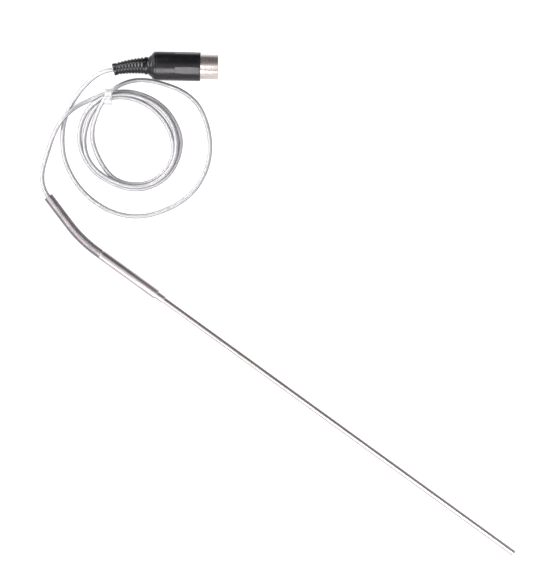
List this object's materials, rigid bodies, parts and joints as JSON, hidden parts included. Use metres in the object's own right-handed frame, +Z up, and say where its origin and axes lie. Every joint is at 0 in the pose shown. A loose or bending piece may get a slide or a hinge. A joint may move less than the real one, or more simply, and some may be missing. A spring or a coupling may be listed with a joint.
{
  "type": "thermocouple",
  "caption": "Plug-in probe: thin straight metal sheath, sleeve and relief spring, a braided cord tied in a coil, and a round keyed pin plug with a ribbed boot.",
  "frame": {"origin": "on the sheath's axis at the shoulder, where the collar ends and the bare sheath starts", "axes": "+X along the sheath to its tip, +Z up from the surface that the part lies on, +Y to the side that the cord lies on"},
  "size_m": [0.3313, 0.1247, 0.0153],
  "materials": {
    "stainless_steel": "fine drawn satin",
    "spring_steel": "close wound, bright drawn",
    "magnesium_oxide": "compacted white ceramic powder",
    "nickel_chromium": "drawn wire",
    "nickel_aluminium": "drawn wire",
    "potting_resin": "cast resin",
    "tinned_copper": "tinned",
    "copper_alloy": "bright drawn",
    "braided_cord": "silver-white braid",
    "natural_nylon": "translucent natural nylon",
    "boot_pvc": "glossy moulded",
    "plug_plastic": "satin moulded",
    "nickel_plate": "bright nickel",
    "tinned_steel": "tinned",
    "insert_plastic": "moulded",
    "core_insulation": "extruded",
    "solder": "dull solder",
    "pin_plate": "silver-plated brass"
  },
  "bodies": {
    "probe": {"sheath_tube": "stainless_steel", "tip_weld_cap": "stainless_steel", "mineral_insulation": "magnesium_oxide", "thermoelement_positive": "nickel_chromium", "thermoelement_negative": "nickel_aluminium", "hot_junction": "nickel_chromium", "reducer_collar": "stainless_steel", "transition_sleeve": "stainless_steel", "potting_compound": "potting_resin", "splice_crimp_positive": "tinned_copper", "splice_crimp_negative": "tinned_copper", "lead_conductor_positive": "copper_alloy", "lead_conductor_negative": "copper_alloy", "cord_bush": "stainless_steel", "relief_spring": "spring_steel"},
    "cable": {"cord_in_spring": "braided_cord", "cord_lead_in": "braided_cord", "cord_coil": "braided_cord", "cord_outer_loop": "braided_cord", "tie_strap": "natural_nylon", "tie_head": "natural_nylon", "tie_tail": "natural_nylon"},
    "plug": {"strain_relief_boot": "boot_pvc", "cord_in_plug": "braided_cord", "plug_body": "plug_plastic", "shield_shell": "nickel_plate", "rear_shield_upper": "tinned_steel", "rear_shield_lower": "tinned_steel", "cord_crimp": "tinned_copper", "pin_insert": "insert_plastic", "plug_lead_positive": "core_insulation", "plug_lead_negative": "core_insulation", "solder_joint_positive": "solder", "solder_joint_negative": "solder", "contact_pin_1": "pin_plate", "contact_pin_2": "pin_plate", "contact_pin_3": "pin_plate", "contact_pin_4": "pin_plate", "contact_pin_5": "pin_plate"}
  },
  "joints": [
    {"name": "relief_bend", "type": "hinge", "parent": "probe", "child": "cable", "pos_m": [-0.06, 0.002, 0], "axis": [0, 0, 1], "range_deg": [-30, 45], "stiffness_Nm_per_rad": 0.005, "deforming": ["relief_spring", "cord_in_spring"]},
    {"name": "boot_bend", "type": "hinge", "parent": "cable", "child": "plug", "pos_m": [-0.08642, 0.08919, 0.00505], "axis": [0, 0, 1], "range_deg": [-5, 20], "stiffness_Nm_per_rad": 0.005, "deforming": ["strain_relief_boot", "cord_in_plug"]}
  ]
}
